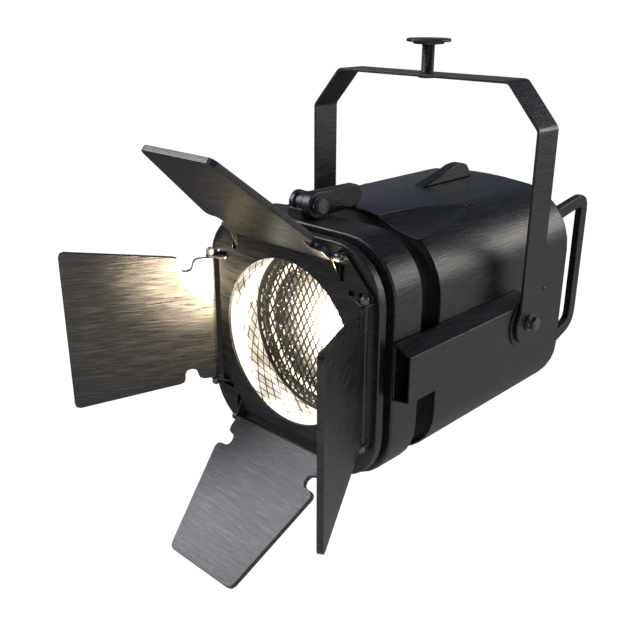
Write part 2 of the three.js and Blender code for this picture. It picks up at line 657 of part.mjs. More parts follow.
function barnPlate() {
  const { front, back, half, clip, recess, recessHalf, bore } = PLATE;
  const outline = [];
  for (let side = 0; side < 4; side += 1) {
    const turn = -side * Math.PI / 2;
    for (const [a, b] of [[-clip, half], [-recessHalf - 8, half], [-recessHalf, half], [-recessHalf, recess],
      [recessHalf, recess], [recessHalf, half]]) {
      outline.push(at(a * Math.cos(turn) - b * Math.sin(turn), a * Math.sin(turn) + b * Math.cos(turn)));
    }
    const [a, b] = [clip, half];
    outline.push(at(a * Math.cos(turn) - b * Math.sin(turn), a * Math.sin(turn) + b * Math.cos(turn)));
  }
  const unique = outline.filter((p, i) => p.distanceTo(outline.at(i - 1)) > 0.01);
  const ear = new THREE.Shape();
  ear.moveTo(back - 0.5, EAR.high);
  ear.lineTo(LEAF.axisY, EAR.high);
  ear.absarc(LEAF.axisY, LEAF.axisOut, EAR.high - LEAF.axisOut, Math.PI / 2, Math.PI + 0.5);
  ear.lineTo(front - 1, EAR.low);
  ear.lineTo(back - 0.5, EAR.low);
  let plate = prism('y', unique, front, back);
  const tools = [rod('y', bore, front - 5, back + 5, 64)];
  for (const turn of Object.values(SIDES)) {
    for (const hand of [-1, 1]) {
      const [from, to] = hand > 0 ? [EAR.inner, EAR.outer] : [-EAR.outer, -EAR.inner];
      plate = join(plate, prism('x', ear, from, to).rotate([0, turn, 0]));
      const slotMid = hand * (EAR.outer + 3);
      tools.push(box(slotMid - 2.6, slotMid + 2.6, front - 5, back + 5, 79, 95).rotate([0, turn, 0]));
      tools.push(rod('x', 1.9, from - 5, to + 5, 10).translate([0, LEAF.axisY, LEAF.axisOut])
        .rotate([0, turn, 0]));
    }
  }
  return cut(plate, ...tools).translate([0, 0, BEAM_Z]);
}

const barnRing = () => tube('y', 85.5, FRAME.bore - 0.5, PLATE.back + GAP, FRAME.back - 0.8)
  .translate([0, 0, BEAM_Z]);

function barnScrew(side, hand) {
  const seat = EAR.outer + GAP;
  const screw = turned('x', [[0, 58], [1.5, 58], [1.5, seat], [3.9, seat], [3.9, seat + 4.6],
    [3, seat + 6.4], [0, seat + 7]], 12).translate([0, LEAF.axisY, LEAF.axisOut]);
  return toSide(hand > 0 ? screw : mirrored(screw), side);
}

// A leaf is drawn straight ahead of its hinge, then opened to its rest angle about the hinge.
function leaf(side) {
  const { thick, under, length, neckHalf, bodyHalf, axisY, axisOut } = LEAF;
  const tip = side === 'left' || side === 'right' ? 82 : 45;
  const half = [at(neckHalf, 0), at(neckHalf, 13), at(neckHalf - 1.6, 17), at(neckHalf - 5.5, 18.8),
    at(57.5, 19), at(54.2, 21), at(53, 25.5), at(54.2, 30), at(57.5, 32), at(64, 32.4), at(67.6, 34),
    at(bodyHalf, 38), at(tip + (tip > bodyHalf ? 0 : 1), length - 5.5), at(tip - 1.2, length - 1.6),
    at(tip - 5, length)];
  const right = half.map((p) => at(p.x, axisY - p.y));
  const left = half.map((p) => at(-p.x, axisY - p.y)).reverse();
  const blade = prism('z', [...right, ...left], -under, thick - under).translate([0, 0, axisOut]);
  const knuckle = rod('x', 3.2, -neckHalf, neckHalf).translate([0, axisY, axisOut]);
  const bores = [-1, 1].map((hand) => rod('x', 1.9, hand > 0 ? 56 : -70, hand > 0 ? 70 : -56, 10)
    .translate([0, axisY, axisOut]));
  const opened = cut(join(blade, knuckle), ...bores)
    .translate([0, -axisY, -axisOut]).rotate([-REST_OPENING[side], 0, 0]).translate([0, axisY, axisOut]);
  return toSide(opened, side);
}

// ---------------------------------------------------------------- assembly

place('stud', stud(), steelBlack);
place('stud_retainer', studRetainer(), zinc);
place('yoke', yoke(), steelBlack);

for (const [suffix, hand] of [['right', (piece) => piece], ['left', mirrored]]) {
  place(`tilt_bolt_${suffix}`, hand(tiltBolt()), zinc);
  place(`tilt_washer_${suffix}`, hand(tiltWasher()), zinc);
  place(`friction_disc_${suffix}`, hand(frictionDisc()), rubber);
  const bores = suffix === 'left' ? [rod('x', CLAMP.radius + GAP, 100, 150).translate([0, CLAMP.y, 0])] : [];
  place(`side_channel_${suffix}`, hand(sideChannel(...bores)), steelBlack);
  place(`pivot_plate_${suffix}`, hand(pivotPlate()), steelBlack);
  place(`carriage_rail_${suffix}`, rail(suffix === 'right' ? 1 : -1), zinc);
}

place('rear_housing', rearHousing(), steelBlack);
place('rear_cover', rearCover(), steelBlack);
coverScrewPlaces().forEach((spot, i) => place(`cover_screw_${i + 1}`, coverScrew(spot), zinc));
place('top_fin', topFin(), steelBlack);
place('front_sleeve', frontSleeve(), innerBlack);
place('hinge_arm', hingeArm(), steelBlack);
place('rear_handle', rearHandle(), steelBlack);
place('cable_gland', cableGland(), rubber);
place('rail_bracket', railBracket(), zinc);

place('carriage', carriage(), zinc);
place('drive_nut', driveNut(), zinc);
place('lampholder', lampholder(), ceramic);
place('lamp', lampBulb(), glass);
place('reflector', reflector(), mirror);
place('focus_screw', focusScrew(), zinc);
place('focus_knob', focusKnob(), rubber);

place('lens_door', lensDoor(), steelBlack);
place('lens_tube', lensTube(), innerBlack);
place('lens', lens(), glass);
place('lens_ring', lensRing(), zinc);
place('mesh_guard', meshGuard(), zinc);
place('door_neck', doorNeck(), innerBlack);
place('accessory_frame', accessoryFrame(), steelBlack);
place('door_knuckle', doorKnuckle(), steelBlack);
place('hinge_bolt', hingeBolt(), zinc);
place('door_clamp', doorClamp(), zinc);

place('barn_plate', barnPlate(), steelBlack);
place('barn_ring', barnRing(), innerBlack);
for (const side of Object.keys(SIDES)) {
  place(`leaf_${side}`, leaf(side), steelBlack);
  place(`leaf_screw_${side}_a`, barnScrew(side, 1), zinc);
  place(`leaf_screw_${side}_b`, barnScrew(side, -1), zinc);
}

export default part;
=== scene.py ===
"""Looks for the fresnel spotlight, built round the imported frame.

Metres, +Z up, the beam leaves along -Y. Sizes of small details are named in millimetres times MM.
Pieces are either a softened copy of a CAD node, with rounded edges and smooth curves, or a finer piece
turned, threaded or woven where the node stands.
"""

import json
import math

import bmesh
import bpy
from mathutils import Matrix, Vector

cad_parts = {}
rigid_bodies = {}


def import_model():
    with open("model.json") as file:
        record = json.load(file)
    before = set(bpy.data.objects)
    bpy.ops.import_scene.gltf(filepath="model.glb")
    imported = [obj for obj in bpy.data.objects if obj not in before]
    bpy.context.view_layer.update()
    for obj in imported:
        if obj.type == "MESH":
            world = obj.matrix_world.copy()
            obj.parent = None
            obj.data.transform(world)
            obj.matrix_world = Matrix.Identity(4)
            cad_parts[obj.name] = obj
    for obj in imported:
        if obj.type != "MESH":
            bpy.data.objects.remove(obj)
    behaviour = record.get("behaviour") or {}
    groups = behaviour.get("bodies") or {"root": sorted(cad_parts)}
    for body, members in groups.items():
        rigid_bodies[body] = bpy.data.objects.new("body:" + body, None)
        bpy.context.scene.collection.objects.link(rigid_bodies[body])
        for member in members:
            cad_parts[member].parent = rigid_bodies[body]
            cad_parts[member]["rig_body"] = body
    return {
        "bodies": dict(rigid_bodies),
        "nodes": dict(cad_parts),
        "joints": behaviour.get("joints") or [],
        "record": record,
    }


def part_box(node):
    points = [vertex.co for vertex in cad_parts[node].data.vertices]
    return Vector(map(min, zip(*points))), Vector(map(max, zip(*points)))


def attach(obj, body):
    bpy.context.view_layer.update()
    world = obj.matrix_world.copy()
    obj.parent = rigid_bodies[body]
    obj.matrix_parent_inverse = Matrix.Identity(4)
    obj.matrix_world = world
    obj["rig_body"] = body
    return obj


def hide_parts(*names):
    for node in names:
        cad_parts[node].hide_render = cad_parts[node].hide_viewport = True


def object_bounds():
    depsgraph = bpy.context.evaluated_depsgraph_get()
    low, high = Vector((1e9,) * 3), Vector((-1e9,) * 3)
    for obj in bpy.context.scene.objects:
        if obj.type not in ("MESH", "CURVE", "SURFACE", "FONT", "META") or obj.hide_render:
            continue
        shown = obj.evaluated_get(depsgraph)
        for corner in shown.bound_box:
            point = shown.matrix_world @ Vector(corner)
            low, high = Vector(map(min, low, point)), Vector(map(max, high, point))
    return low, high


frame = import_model()
cad_low, cad_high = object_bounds()

MM = 0.001
scene = bpy.context.scene
NODES = frame["nodes"]
SLOTS = {row["node"]: row["material_slot"] for row in frame["record"]["subparts"]}
JOINTS = {joint["name"]: joint for joint in frame["joints"]}
BEAM = Vector(JOINTS["barn_door_turn"]["pos_m"])
TILT = Vector(JOINTS["lamp_tilt"]["pos_m"])
SIDES = ("top", "right", "bottom", "left")


# ---------------------------------------------------------------- camera

AZIMUTH = math.radians(43.624)
ELEVATION = math.radians(21.447)
ROLL = math.radians(0.277)
FROM_TILT = Vector((0.5196, -0.7012, 0.3031))       # the camera's place, from the tilt axis


def make_camera():
    back = Vector((math.sin(AZIMUTH) * math.cos(ELEVATION), -math.cos(AZIMUTH) * math.cos(ELEVATION),
                   math.sin(ELEVATION)))
    level = Vector((math.cos(AZIMUTH), math.sin(AZIMUTH), 0))
    upright = back.cross(level)
    right = level * math.cos(ROLL) + upright * math.sin(ROLL)
    up = upright * math.cos(ROLL) - level * math.sin(ROLL)
    data = bpy.data.cameras.new("camera")
    data.lens = 46.08
    data.sensor_width = 36
    data.clip_end = 60
    camera = bpy.data.objects.new("camera", data)
    turn = Matrix((right, up, back)).transposed().to_4x4()
    camera.matrix_world = Matrix.Translation(TILT + FROM_TILT) @ turn
    scene.collection.objects.link(camera)
    scene.camera = camera


# ---------------------------------------------------------------- materials

PAINTED_GLOW_AT = (22, 8)               # where the lamp's image is painted as a glow in the lens, off the beam axis to the right and up
PAINTED_GLARE_AT = (30, 13)             # where the lamp's glare is painted as a glow on the guard in front of it
GUARD_WIDE, GUARD_TALL = 8.3 * MM, 15.5 * MM        # the cells of the guard
TUNNEL_CELLS = 34               # the cells of the guard's painted reflection round the tunnel's wall


class Shader:
    """A node tree that is filled by short calls."""

    def __init__(self, name):
        self.material = bpy.data.materials.new(name)
        self.material.use_nodes = True
        self.tree = self.material.node_tree
        self.tree.nodes.clear()
        self.output = self.tree.nodes.new("ShaderNodeOutputMaterial")

    def add(self, kind, sockets=None, **settings):
        node = self.tree.nodes.new("ShaderNode" + kind)
        for key, value in settings.items():
            setattr(node, key, value)
        for key, value in (sockets or {}).items():
            if isinstance(value, bpy.types.NodeSocket):
                self.tree.links.new(value, node.inputs[key])
            else:
                node.inputs[key].default_value = value
        return node

    def place(self, scale):
        """Object coordinates, stretched by a scale for each axis."""
        where = self.add("TexCoord").outputs["Object"]
        return self.add("Mapping", {"Vector": where, "Scale": scale}).outputs["Vector"]

    def noise(self, scale, detail=4.0, roughness=0.6, distortion=0.0):
        return self.add("TexNoise", {"Vector": self.place(scale), "Scale": 1.0, "Detail": detail,
                                     "Roughness": roughness, "Distortion": distortion}).outputs["Fac"]

    def spread(self, value, low, high, start=0.3, end=0.7):
        """A value between start and end becomes one between low and high."""
        return self.add("MapRange", {"Value": value, "From Min": start, "From Max": end, "To Min": low,
                                     "To Max": high}).outputs["Result"]

    def ramp(self, value, stops):
        node = self.add("ValToRGB", {"Fac": value})
        elements = node.color_ramp.elements
        while len(elements) < len(stops):
            elements.new(0.5)
        for element, (place, colour) in zip(elements, stops):
            element.position = place
            element.color = (*colour, 1)
        return node.outputs["Color"]

    def calc(self, operation, *values):
        return self.add("Math", dict(enumerate(values)), operation=operation).outputs[0]

    def mix(self, factor, first, second, blend="MIX"):
        """Two colours mixed. A Mix node lists one output for each data type, and only one is in use."""
        node = self.add("Mix", {"Factor": factor, "A": first, "B": second}, data_type="RGBA",
                        blend_type=blend)
        return next(out for out in node.outputs if out.type == "RGBA" and out.enabled)

    def distance_in_face(self, x, z):
        """How far a point lies, seen along the beam, from one that is x and z millimetres off its axis."""
        where = self.add("TexCoord").outputs["Object"]
        flat = self.add("VectorMath", {0: where, 1: (1, 0, 1)}, operation="MULTIPLY").outputs["Vector"]
        return self.add("VectorMath", {0: flat, 1: (BEAM.x + x * MM, 0, BEAM.z + z * MM)},
                        operation="DISTANCE").outputs["Value"]

    def bump(self, height, distance, strength=1.0, under=None):
        sockets = {"Height": height, "Distance": distance, "Strength": strength}
        if under is not None:
            sockets["Normal"] = under
        return self.add("Bump", sockets).outputs["Normal"]

    def surface(self, sockets):
        shader = self.add("BsdfPrincipled", sockets)
        self.tree.links.new(shader.outputs["BSDF"], self.output.inputs["Surface"])
        return self.material


FINE, LONG = 760, 40            # streaks for a metre, across and along the grain
GRAINS = {"x": (LONG, FINE, FINE), "y": (FINE, LONG, FINE), "z": (FINE, FINE, LONG),
          "level": (LONG, LONG, FINE)}


def black_steel(grain):
    """Semi-matte black finish over brushed steel: fine streaks, cloudy sheen and dust."""
    s = Shader("black_steel_" + grain)
    streaks = s.noise(GRAINS[grain], detail=5, roughness=0.68)
    wide = s.noise(tuple(v * 0.3 for v in GRAINS[grain]), detail=3)
    clouds = s.noise((17, 17, 17), detail=4, distortion=0.6)
    grit = s.noise((2600, 2600, 2600), detail=2)
    dark = s.ramp(streaks, [(0.30, (0.0035, 0.0037, 0.0042)), (0.50, (0.0090, 0.0092, 0.0100)),
                            (0.72, (0.040, 0.040, 0.041))])
    worn = s.ramp(clouds, [(0.35, (0.75, 0.75, 0.77)), (0.70, (1.25, 1.22, 1.16))])
    rough = s.calc("ADD", s.spread(streaks, 0.23, 0.41), s.spread(wide, -0.02, 0.03))
    rough = s.calc("ADD", rough, s.spread(clouds, -0.02, 0.03))
    normal = s.bump(streaks, 0.22 * MM, 1.0, s.bump(grit, 0.03 * MM, 0.6))
    return s.surface({"Base Color": s.mix(1.0, dark, worn, "MULTIPLY"), "Roughness": rough,
                      "Specular IOR Level": 0.5, "Metallic": 0.0, "Normal": normal})


def inner_black():
    s = Shader("inner_black")
    clouds = s.noise((30, 30, 30), detail=5)
    grit = s.noise((1500, 1500, 1500), detail=3)
    colour = s.ramp(clouds, [(0.3, (0.006, 0.006, 0.006)), (0.7, (0.014, 0.014, 0.014))])
    return s.surface({"Base Color": colour, "Roughness": s.spread(clouds, 0.55, 0.75),
                      "Normal": s.bump(grit, 0.08 * MM)})


def zinc_steel():
    """Dark plated fasteners: fine turning lines and faint cloudy patches."""
    s = Shader("zinc_steel")
    clouds = s.noise((140, 140, 140), detail=4)
    lines = s.noise((700, 900, 900), detail=4)
    colour = s.ramp(clouds, [(0.3, (0.075, 0.076, 0.080)), (0.7, (0.17, 0.17, 0.175))])
    return s.surface({"Base Color": colour, "Roughness": s.spread(lines, 0.24, 0.42), "Metallic": 0.85,
                      "Normal": s.bump(lines, 0.03 * MM)})


def guard_steel():
    """Dark sheet, with the glare of the lamp's image painted as a glow over the strands in front of it."""
    s = Shader("guard_steel")
    clouds = s.noise((90, 90, 90), detail=4)
    grit = s.noise((1400, 1400, 1400), detail=3)
    colour = s.ramp(clouds, [(0.3, (0.014, 0.0138, 0.013)), (0.7, (0.034, 0.033, 0.030))])
    # painted glare: a warm emission on the strands round the lamp's image, standing for its glare
    painted_glare = s.ramp(s.spread(s.distance_in_face(*PAINTED_GLARE_AT), 0.0, 1.0, 0.0, 0.07),
                   [(0.0, (1.3, 1.2, 0.98)), (0.34, (1.1, 0.98, 0.76)), (0.62, (0.20, 0.15, 0.09)),
                    (1.0, (0.0, 0.0, 0.0))])
    return s.surface({"Base Color": colour, "Roughness": s.spread(grit, 0.36, 0.55), "Metallic": 0.5,
                      "Emission Color": painted_glare, "Emission Strength": 1.0,
                      "Normal": s.bump(grit, 0.05 * MM)})


def black_rubber():
    s = Shader("black_rubber")
    grit = s.noise((1100, 1100, 1100), detail=5)
    clouds = s.noise((60, 60, 60))
    colour = s.ramp(clouds, [(0.3, (0.010, 0.010, 0.010)), (0.7, (0.020, 0.020, 0.021))])
    return s.surface({"Base Color": colour, "Roughness": s.spread(grit, 0.6, 0.82),
                      "Normal": s.bump(grit, 0.12 * MM)})


def ceramic():
    s = Shader("ceramic")
    clouds = s.noise((70, 70, 70), detail=5)
    colour = s.ramp(clouds, [(0.3, (0.62, 0.58, 0.50)), (0.7, (0.78, 0.75, 0.68))])
    return s.surface({"Base Color": colour, "Roughness": s.spread(clouds, 0.22, 0.4),
                      "Normal": s.bump(s.noise((900, 900, 900)), 0.02 * MM)})


def mirror_aluminium():
    """Polished sheet with faint rolling lines."""
    s = Shader("mirror_aluminium")
    lines = s.noise(GRAINS["y"], detail=4)
    clouds = s.noise((40, 40, 40), detail=3)
    colour = s.ramp(clouds, [(0.3, (0.80, 0.77, 0.70)), (0.7, (0.93, 0.91, 0.86))])
    return s.surface({"Base Color": colour, "Roughness": s.spread(lines, 0.10, 0.24), "Metallic": 1.0,
                      "Normal": s.bump(lines, 0.02 * MM)})


def lit_tunnel():
    """The tunnel's polished wall, with the lamp's light painted in as a glow and a painted reflection of
    the guard in patches.
    """
    s = Shader("lit_tunnel")
    part = s.add("SeparateXYZ", {"Vector": s.add("TexCoord").outputs["Object"]}).outputs
    angle = s.calc("ARCTAN2", s.calc("SUBTRACT", part["Z"], BEAM.z), part["X"])
    around = s.calc("MULTIPLY", angle, TUNNEL_CELLS / 2)
    along = s.calc("MULTIPLY", part["Y"], math.pi / GUARD_WIDE)
    waves = [s.calc("ABSOLUTE", s.calc("SINE", s.calc(turn, around, along)))
             for turn in ("ADD", "SUBTRACT")]
    nearest = s.calc("MINIMUM", *waves)
    # painted reflection: a lattice of the guard's cells, dark in the painted glow, standing for its mirror
    # image in the wall
    painted_guard_reflection = s.ramp(nearest, [(0.16, (0.03, 0.025, 0.02)), (0.36, (1, 1, 1))])
    clouds = s.noise((19, 30, 19), detail=3)
    # painted glow: the lamp's light on the wall, as a warm emission in cloudy patches
    painted_glow = s.ramp(clouds, [(0.32, (0.42, 0.35, 0.24)), (0.47, (1.0, 0.94, 0.80))])
    # mask of the patches where the painted reflection of the guard shows
    painted_reflection_patches = s.spread(clouds, 1.0, 0.0, 0.42, 0.50)
    lines = s.noise(GRAINS["y"], detail=4)
    return s.surface({"Base Color": (0.24, 0.235, 0.22, 1), "Roughness": s.spread(lines, 0.10, 0.2),
                      "Metallic": 1.0, "Emission Color": s.mix(painted_reflection_patches, painted_glow, painted_guard_reflection, "MULTIPLY"),
                      "Emission Strength": 1.25,
                      "Normal": s.bump(lines, 0.02 * MM)})


# strength of the lens's painted glow, by distance from the lamp's painted image
PAINTED_LENS_GLOW = [(0.0, 8.0), (0.22, 7.5), (0.34, 4.5), (0.44, 1.6), (0.56, 0.40), (0.70, 0.08), (1.0, 0.02)]


def lit_lens(radius):
    """Pressed glass, its light from behind painted in as emission: a painted hot image of the lamp,
    painted glints round it and a painted bright rim.
    """
    s = Shader("lit_lens")
    away = s.distance_in_face(*PAINTED_GLOW_AT)
    peak = PAINTED_LENS_GLOW[0][1]
    painted_glow = s.ramp(s.spread(away, 0.0, 1.0, 0.0, radius * 1.25),
                  [(place, (math.sqrt(level / peak),) * 3) for place, level in PAINTED_LENS_GLOW])
    # painted bright rim: a ring of emission near the lens's edge, standing for its rim highlight
    rim = s.ramp(s.spread(s.distance_in_face(0, 0), 0.0, 1.0, 0.76 * radius, 0.86 * radius),
                 [(0.0, (0, 0, 0)), (0.4, (1, 1, 1)), (0.6, (1, 1, 1)), (1.0, (0, 0, 0))])
    pebbles = s.noise((420, 420, 420), detail=3)
    glints = s.noise((330, 330, 330), detail=2, roughness=0.4)
    core = s.calc("MULTIPLY", s.calc("MULTIPLY", painted_glow, painted_glow), s.spread(pebbles, peak * 0.6, peak * 1.4))
    # the painted rim's emission, varied by the frosting
    edge = s.calc("MULTIPLY", rim, s.spread(pebbles, 0.4, 3.2))
    near = s.spread(away, 1.0, 0.15, 0.3 * radius, 1.2 * radius)
    # painted glints: sparks of emission near the lamp's painted image
    painted_glints = s.calc("MULTIPLY", s.spread(glints, 0.0, 7.0, 0.60, 0.70), near)
    strength = s.calc("ADD", s.calc("ADD", core, edge), painted_glints)
    painted_glow_tint = s.ramp(s.spread(away, 0.0, 1.0, 0.0, radius),
                  [(0.0, (1.0, 0.95, 0.84)), (0.6, (1.0, 0.91, 0.75)), (1.0, (1.0, 0.86, 0.64))])
    return s.surface({"Base Color": (0.015, 0.015, 0.015, 1), "Roughness": s.spread(pebbles, 0.10, 0.3),
                      "Specular IOR Level": 0.25,
                      "Emission Color": painted_glow_tint, "Emission Strength": strength,
                      "Normal": s.bump(pebbles, 0.1 * MM)})


def lit_glass():
    """The lamp's envelope, frosted a little, with the filament's light in it."""
    s = Shader("lit_glass")
    clouds = s.noise((90, 90, 90), detail=3)
    colour = s.ramp(clouds, [(0.3, (1.0, 0.90, 0.70)), (0.7, (1.0, 0.95, 0.82))])
    return s.surface({"Base Color": colour, "Roughness": s.spread(clouds, 0.05, 0.18),
                      "Transmission Weight": 0.7, "Emission Color": colour, "Emission Strength": 3.0})


def hot_wire():
    s = Shader("hot_wire")
    coils = s.noise((900, 900, 900))
    colour = s.ramp(coils, [(0.3, (1.0, 0.62, 0.25)), (0.7, (1.0, 0.82, 0.50))])
    return s.surface({"Base Color": colour, "Emission Color": colour, "Emission Strength": 40.0,
                      "Roughness": s.spread(coils, 0.4, 0.6)})


looks = {}
KINDS = {"inner_black": inner_black, "zinc_steel": zinc_steel, "black_rubber": black_rubber,
         "ceramic": ceramic, "mirror_aluminium": mirror_aluminium, "clear_glass": lit_glass}


def material(kind, *settings):
    """One material for each kind and setting, made when it is first asked for."""
    key = (kind.__name__, *settings)
    if key not in looks:
        looks[key] = kind(*settings)
    return looks[key]


def finish_of(node, grain="y"):
    """The material of a CAD node, from its slot in the record."""
    slot = SLOTS[node]
    if slot in ("black_steel", "black_aluminium"):
        return material(black_steel, grain)
    return material(KINDS[slot])


# ---------------------------------------------------------------- pieces

CORNER = 2.2 * MM               # the rounding of a leaf's corners

def new_piece(name, bm, look):
    mesh = bpy.data.meshes.new(name)
    bm.normal_update()
    bm.to_mesh(mesh)
    bm.free()
    for polygon in mesh.polygons:
        polygon.use_smooth = True
    mesh.materials.append(look)
    piece = bpy.data.objects.new(name, mesh)
    scene.collection.objects.link(piece)
    return piece


def weigh_normals(piece, sharp):
    """Smooth curves next to flat faces that stay flat."""
    piece.data.set_sharp_from_angle(angle=math.radians(sharp))
    modifier = piece.modifiers.new("normals", "WEIGHTED_NORMAL")
    modifier.keep_sharp = True
    modifier.weight = 60


def stand_for(piece, node):
    """A piece rides on its node's body and hides the node."""
    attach(piece, NODES[node]["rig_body"])
    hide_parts(node)


def add_on(piece, node):
    """A detail that the CAD leaves out, on the body of a node."""
    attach(piece, NODES[node]["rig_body"])


def span(node):
    """A node's low and high corner, its centre and its size."""
    low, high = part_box(node)
    return low, high, (low + high) / 2, high - low


def folded_edges(bm, least):
    """The edges that fold by more than an angle in degrees."""
    return [edge for edge in bm.edges
            if len(edge.link_faces) == 2 and edge.calc_face_angle(0) > math.radians(least)]


def softened(node, edge, grain, sharp=28, corner_along=None, crease=40):
    """A copy of a CAD node, its edges rounded by edge millimetres where they fold by more than sharp.

    corner_along is the direction of edges that get a larger rounding first, as a leaf's corners do.
    """
    bm = bmesh.new()
    bm.from_mesh(NODES[node].data)
    bmesh.ops.remove_doubles(bm, verts=bm.verts, dist=0.002 * MM)
    bmesh.ops.dissolve_degenerate(bm, edges=bm.edges, dist=0.02 * MM)
    bmesh.ops.dissolve_limit(bm, angle_limit=math.radians(0.6), verts=bm.verts, edges=bm.edges)
    if corner_along:
        along = [e for e in folded_edges(bm, 12)
                 if abs((e.verts[0].co - e.verts[1].co).normalized().dot(corner_along)) > 0.98]
        bmesh.ops.bevel(bm, geom=along, offset=CORNER, segments=4, profile=0.5, affect="EDGES",
                        clamp_overlap=True)
    bmesh.ops.triangulate(bm, faces=[f for f in bm.faces if len(f.verts) > 4])
    bmesh.ops.bevel(bm, geom=folded_edges(bm, sharp), offset=edge * MM, segments=2, profile=0.5,
                    affect="EDGES", clamp_overlap=False, miter_outer="ARC")
    piece = new_piece(node + "_finished", bm, finish_of(node, grain))
    weigh_normals(piece, crease)
    stand_for(piece, node)


AXES = {"x": (Vector((0, 1, 0)), Vector((0, 0, 1)), Vector((1, 0, 0))),
        "y": (Vector((1, 0, 0)), Vector((0, 0, -1)), Vector((0, 1, 0))),
        "z": (Vector((1, 0, 0)), Vector((0, 1, 0)), Vector((0, 0, 1)))}


def rounded(profile, radius, steps=3):
    """A profile of (along, out) points whose corners off the axis are rounded by an arc."""
    points = [Vector(p) for p in profile]
    made = []
    for i, here in enumerate(points):
        if i in (0, len(points) - 1):
            made.append(here)
            continue
        into, out = here - points[i - 1], points[i + 1] - here
        back = min(radius, into.length * 0.45, out.length * 0.45)
        if back < 1e-6 or into.length < 1e-7 or out.length < 1e-7:
            made.append(here)
            continue
        start, end = here - into.normalized() * back, here + out.normalized() * back
        for k in range(steps + 1):
            t = k / steps
            made.append(start * (1 - t) ** 2 + here * 2 * t * (1 - t) + end * t ** 2)
    return made


def turn_into(bm, axis, centre, profile, segments=48, radius_at=None):
    """Adds a turned body to a bmesh. radius_at(angle, out) may shape the rim, as on a knurled knob."""
    u, v, w = AXES[axis]
    rings = []
    for along, out in profile:
        if out < 1e-7:
            rings.append([bm.verts.new(centre + w * along)])
            continue
        ring = []
        for i in range(segments):
            angle = 2 * math.pi * i / segments
            reach = radius_at(angle, out) if radius_at else out
            ring.append(bm.verts.new(centre + (u * math.cos(angle) + v * math.sin(angle)) * reach
                                     + w * along))
        rings.append(ring)
    closed = len(rings[0]) > 1 and (Vector(profile[0]) - Vector(profile[-1])).length < 1e-7
    if closed:
        for vert in rings.pop():
            bm.verts.remove(vert)
        rings.append(rings[0])
    for a, b in zip(rings, rings[1:]):
        for i in range(segments):
            j = (i + 1) % segments
            if len(a) == 1 and len(b) == 1:
                continue
            if len(a) == 1:
                bm.faces.new((a[0], b[j], b[i]))
            elif len(b) == 1:
                bm.faces.new((a[i], a[j], b[0]))
            else:
                bm.faces.new((a[i], a[j], b[j], b[i]))
    for ring, flip in ((rings[0], True), (rings[-1], False)):
        if not closed and len(ring) > 1:
            bm.faces.new(ring[::-1] if flip else ring)


def turned(name, axis, centre, profile, look, segments=64, fillet=0.4):
    bm = bmesh.new()
    turn_into(bm, axis, centre, rounded(profile, fillet * MM), segments)
    return from_bmesh(name, bm, look)


def ring_profile(inner, outer, start, end):
    """A closed profile for a ring, which begins and ends in the middle of its first face."""
    return [(start, (inner + outer) / 2), (start, outer), (end, outer), (end, inner), (start, inner),
            (start, (inner + outer) / 2)]


def hexagonal(across, height):
    """How far a hexagon head reaches at an angle and a height, its free end turned to a cone."""
    def reach(angle, along):
        flat = across / 2 / math.cos((angle + math.pi / 6) % (math.pi / 3) - math.pi / 6)
        return min(flat, across / 2 * 1.02 + (height - along) * 1.7)
    return reach


def hex_head(bm, axis, centre, across, start, height):
    """A hexagon head with a chamfered face, from start along the axis."""
    u, v, w = AXES[axis]
    sign = 1 if height > 0 else -1
    tall = abs(height)
    reach = hexagonal(across, tall)
    rows = [0.0, tall * 0.3, tall * 0.6, tall - 1.0 * MM, tall - 0.75 * MM, tall - 0.5 * MM,
            tall - 0.25 * MM, tall]
    rings = []
    segments = 48
    for along in rows:
        ring = []
        for i in range(segments):
            angle = 2 * math.pi * i / segments
            out = reach(angle, along)
            ring.append(bm.verts.new(centre + (u * math.cos(angle) + v * math.sin(angle)) * out
                                     + w * (start + sign * along)))
        rings.append(ring)
    for a, b in zip(rings, rings[1:]):
        for i in range(segments):
            j = (i + 1) % segments
            bm.faces.new((a[i], a[j], b[j], b[i]))
    bm.faces.new(rings[0][::-1])
    bm.faces.new(rings[-1])


def threaded(bm, axis, centre, start, end, radius, pitch, depth, starts=1, segments=32, rows=6):
    """A rod with a helical thread cut into it."""
    u, v, w = AXES[axis]
    count = max(2, int((end - start) / (pitch / starts) * rows))
    rings = []
    for k in range(count + 1):
        along = start + (end - start) * k / count
        fade = min(1.0, min(k, count - k) / rows)
        ring = []
        for i in range(segments):
            angle = 2 * math.pi * i / segments
            phase = (along / pitch - angle / (2 * math.pi)) * starts
            saw = abs((phase % 1.0) * 2 - 1)
            out = radius - depth * fade * saw - (0.35 * MM if k in (0, count) else 0)
            ring.append(bm.verts.new(centre + (u * math.cos(angle) + v * math.sin(angle)) * out
                                     + w * along))
        rings.append(ring)
    for a, b in zip(rings, rings[1:]):
        for i in range(segments):
            j = (i + 1) % segments
            bm.faces.new((a[i], a[j], b[j], b[i]))
    for ring, along in ((rings[0], start), (rings[-1], end)):
        hub = bm.verts.new(centre + w * along)
        for a, b in zip(ring, ring[1:] + ring[:1]):
            bm.faces.new((a, b, hub))


def from_bmesh(name, bm, look, sharp=35):
    """A piece from a bmesh, with its faces turned outwards."""
    bmesh.ops.recalc_face_normals(bm, faces=bm.faces)
    piece = new_piece(name, bm, look)
    weigh_normals(piece, sharp)
    return piece


# ---------------------------------------------------------------- stud, yoke and pivots

